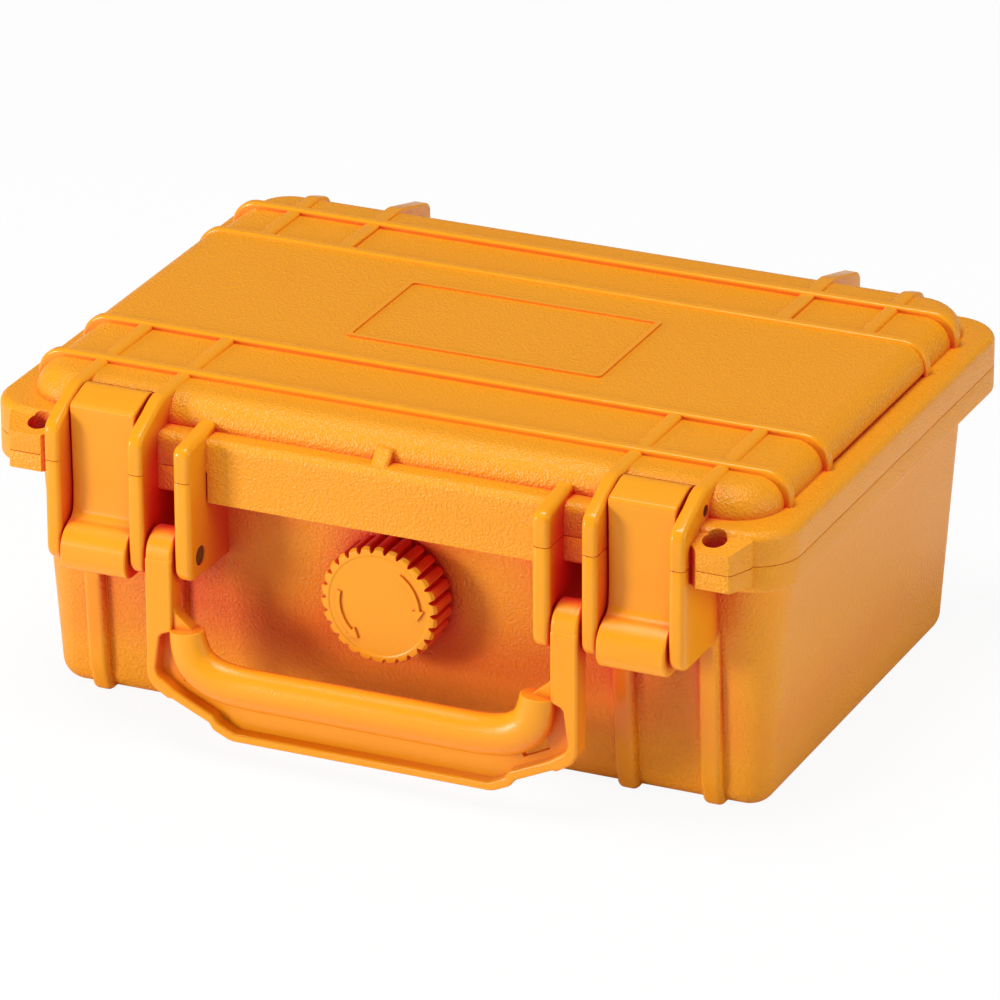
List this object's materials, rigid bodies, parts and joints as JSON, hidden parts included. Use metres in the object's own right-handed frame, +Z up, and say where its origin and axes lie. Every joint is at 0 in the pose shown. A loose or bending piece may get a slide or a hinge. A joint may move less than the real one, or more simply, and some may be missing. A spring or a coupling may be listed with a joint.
{
  "type": "watertight first aid hard case",
  "caption": "Small watertight hard case for a first aid kit: hinged ribbed lid with seal, draw-down latches, folding carry handle and a manual pressure purge valve.",
  "frame": {"origin": "centre of the flat face that the case stands on", "axes": "+X along the long front side, -Y the front with handle and latches, +Z up through the lid"},
  "size_m": [0.21, 0.171, 0.0879],
  "materials": {
    "case_plastic": "grained injection-moulded polypropylene, safety orange",
    "latch_plastic": "satin injection-moulded plastic, safety orange",
    "handle_plastic": "smooth satin plastic, safety orange",
    "knob_plastic": "satin plastic with raised arrows, safety orange",
    "valve_plastic": "black glass-filled nylon",
    "pin_steel": "plain stainless steel",
    "seal_rubber": "smooth black silicone rubber",
    "foam": "open-cell dark grey foam"
  },
  "bodies": {
    "base": {"base_shell": "case_plastic", "hinge_pin_left": "pin_steel", "hinge_pin_right": "pin_steel", "handle_pin_left": "pin_steel", "handle_pin_right": "pin_steel", "purge_seal_washer": "seal_rubber", "purge_valve_body": "valve_plastic", "purge_lock_nut": "valve_plastic", "base_foam": "foam"},
    "lid": {"lid_shell": "case_plastic", "lid_gasket": "seal_rubber", "latch_pin_left": "pin_steel", "latch_pin_right": "pin_steel", "lid_foam": "foam"},
    "latch_left": {"latch_left": "latch_plastic"},
    "latch_right": {"latch_right": "latch_plastic"},
    "handle": {"handle": "handle_plastic"},
    "purge_plunger": {"purge_stem": "pin_steel", "purge_o_ring": "seal_rubber"},
    "purge_knob": {"purge_knob": "knob_plastic"}
  },
  "joints": [
    {"name": "lid_hinge", "type": "hinge", "parent": "base", "child": "lid", "pos_m": [0, 0.0784, 0.071], "axis": [-1, 0, 0], "range_deg": [0, 105]},
    {"name": "latch_left_pivot", "type": "hinge", "parent": "lid", "child": "latch_left", "pos_m": [-0.07075, -0.0715, 0.0818], "axis": [-1, 0, 0], "range_deg": [0, 110]},
    {"name": "latch_right_pivot", "type": "hinge", "parent": "lid", "child": "latch_right", "pos_m": [0.07075, -0.0715, 0.0818], "axis": [-1, 0, 0], "range_deg": [0, 110]},
    {"name": "handle_pivot", "type": "hinge", "parent": "base", "child": "handle", "pos_m": [0, -0.079, 0.0505], "axis": [-1, 0, 0], "range_deg": [0, 110]},
    {"name": "purge_lift", "type": "slide", "parent": "base", "child": "purge_plunger", "axis": [0, -1, 0], "range_m": [0, 0.0012]},
    {"name": "purge_turn", "type": "hinge", "parent": "purge_plunger", "child": "purge_knob", "pos_m": [0, -0.0695, 0.043], "axis": [0, -1, 0], "range_deg": [0, 180]}
  ],
  "couplings": [
    {"joint": "purge_lift", "follows": "purge_turn", "m_per_rad": 0.00038}
  ]
}
